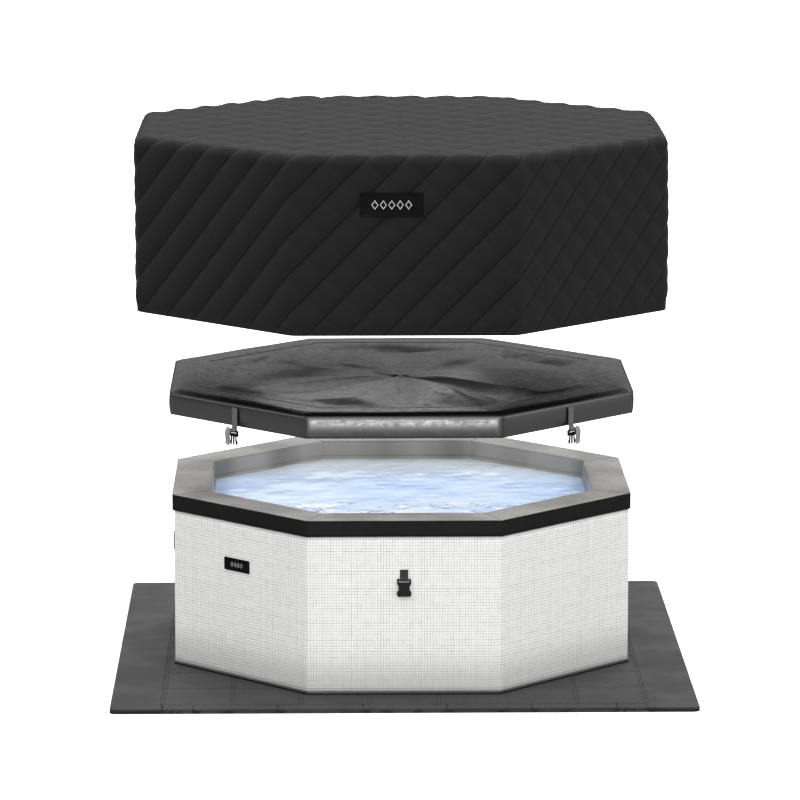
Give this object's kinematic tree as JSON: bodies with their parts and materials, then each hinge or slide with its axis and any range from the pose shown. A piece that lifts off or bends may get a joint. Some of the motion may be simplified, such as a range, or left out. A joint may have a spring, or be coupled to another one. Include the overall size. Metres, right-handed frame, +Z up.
{
  "type": "inflatable hot tub",
  "caption": "Octagonal foam-walled hot tub with an inflatable lid, a quilted over-jacket and an interlocking floor mat, lid and jacket held above the rim.",
  "frame": {"origin": "centre of the underside of the floor mat", "axes": "+Z up through the tub's centre, -Y out of the front face (the one with the jacket's label), +X to the right seen from the front"},
  "size_m": [2.3, 2.3, 2.17],
  "materials": {
    "mat_foam": "matt EVA foam with a fine leather-like emboss",
    "foam_core": "closed-cell foam",
    "woven_skin": "off-white laminated weave with a fine grey cell grid",
    "rim_skin": "black vinyl-coated foam, satin",
    "liner_skin": "warm grey vinyl, satin",
    "piping": "black piping",
    "label": "black moulded patch with a blank border",
    "webbing": "grey polyester webbing",
    "buckle": "black acetal, satin",
    "fitting": "grey moulded plastic",
    "filter_media": "pleated paper and moulded end caps",
    "lid_leather": "black leatherette, soft sheen",
    "bladder": "black welded vinyl",
    "quilt": "charcoal polyester, diamond quilted"
  },
  "bodies": {
    "tub": {"mat_row_1": "mat_foam", "mat_row_2": "mat_foam", "mat_row_3": "mat_foam", "mat_row_4": "mat_foam", "mat_row_5": "mat_foam", "mat_row_6": "mat_foam", "mat_row_7": "mat_foam", "mat_row_8": "mat_foam", "mat_edge_front": "mat_foam", "mat_edge_back": "mat_foam", "mat_edge_left": "mat_foam", "mat_edge_right": "mat_foam", "wall_panel_1": "foam_core", "wall_panel_2": "foam_core", "wall_panel_3": "foam_core", "wall_panel_4": "foam_core", "wall_panel_5": "foam_core", "wall_panel_6": "foam_core", "wall_panel_7": "foam_core", "wall_panel_8": "foam_core", "floor_pad": "foam_core", "outer_sleeve": "woven_skin", "liner": "liner_skin", "rim_pad": "rim_skin", "bottom_piping": "piping", "bubble_ring": "liner_skin", "tub_label": "label", "suction_fitting": "fitting", "return_fitting": "fitting", "air_fitting": "fitting", "suction_nut": "fitting", "return_nut": "fitting", "drain_valve": "fitting", "buckle_tab_front": "webbing", "buckle_tab_right": "webbing", "buckle_tab_back": "webbing", "buckle_tab_left": "webbing"},
    "filter": {"filter_cartridge": "filter_media"},
    "drain_plug": {"drain_cap": "buckle"},
    "lid": {"lid_base": "lid_leather", "lid_top": "lid_leather", "lid_side_band": "lid_leather", "lid_bladder": "bladder"},
    "lid_valve": {"lid_valve_cap": "buckle"},
    "jacket": {"jacket_top": "quilt", "jacket_skirt": "quilt", "jacket_hem": "quilt", "jacket_label": "label"},
    "buckle_front": {"tub_buckle_front": "buckle"},
    "buckle_right": {"tub_buckle_right": "buckle"},
    "buckle_back": {"tub_buckle_back": "buckle"},
    "buckle_left": {"tub_buckle_left": "buckle"},
    "strap_right_front": {"lid_strap_right_front": "webbing", "strap_buckle_right_front": "buckle"},
    "strap_right_back": {"lid_strap_right_back": "webbing", "strap_buckle_right_back": "buckle"},
    "strap_left_back": {"lid_strap_left_back": "webbing", "strap_buckle_left_back": "buckle"},
    "strap_left_front": {"lid_strap_left_front": "webbing", "strap_buckle_left_front": "buckle"}
  },
  "joints": [
    {"name": "lid_lift", "type": "slide", "parent": "tub", "child": "lid", "axis": [0, 0, 1], "range_m": [-0.327, 0]},
    {"name": "jacket_lift", "type": "slide", "parent": "lid", "child": "jacket", "axis": [0, 0, 1], "range_m": [-1.001, 0]},
    {"name": "filter_pull", "type": "slide", "parent": "tub", "child": "filter", "axis": [0, -1, 0], "range_m": [0, 0.15]},
    {"name": "drain_cap_pull", "type": "slide", "parent": "tub", "child": "drain_plug", "axis": [0, 1, 0], "range_m": [0, 0.06]},
    {"name": "lid_valve_pull", "type": "slide", "parent": "lid", "child": "lid_valve", "axis": [0, 1, 0], "range_m": [0, 0.03]},
    {"name": "tub_buckle_front_flip", "type": "hinge", "parent": "tub", "child": "buckle_front", "pos_m": [0, -0.926, 0.48], "axis": [-1, 0, 0], "range_deg": [0, 150]},
    {"name": "tub_buckle_right_flip", "type": "hinge", "parent": "tub", "child": "buckle_right", "pos_m": [0.926, 0, 0.48], "axis": [0, -1, 0], "range_deg": [0, 150]},
    {"name": "tub_buckle_back_flip", "type": "hinge", "parent": "tub", "child": "buckle_back", "pos_m": [0, 0.926, 0.48], "axis": [1, 0, 0], "range_deg": [0, 150]},
    {"name": "tub_buckle_left_flip", "type": "hinge", "parent": "tub", "child": "buckle_left", "pos_m": [-0.926, 0, 0.48], "axis": [0, 1, 0], "range_deg": [0, 150]},
    {"name": "strap_right_front_swing", "type": "hinge", "parent": "lid", "child": "strap_right_front", "pos_m": [0.66348, -0.66348, 1.122], "axis": [-0.7071, -0.7071, 0], "range_deg": [0, 90]},
    {"name": "strap_right_back_swing", "type": "hinge", "parent": "lid", "child": "strap_right_back", "pos_m": [0.66348, 0.66348, 1.122], "axis": [0.7071, -0.7071, 0], "range_deg": [0, 90]},
    {"name": "strap_left_back_swing", "type": "hinge", "parent": "lid", "child": "strap_left_back", "pos_m": [-0.66348, 0.66348, 1.122], "axis": [0.7071, 0.7071, 0], "range_deg": [0, 90]},
    {"name": "strap_left_front_swing", "type": "hinge", "parent": "lid", "child": "strap_left_front", "pos_m": [-0.66348, -0.66348, 1.122], "axis": [-0.7071, 0.7071, 0], "range_deg": [0, 90]}
  ]
}
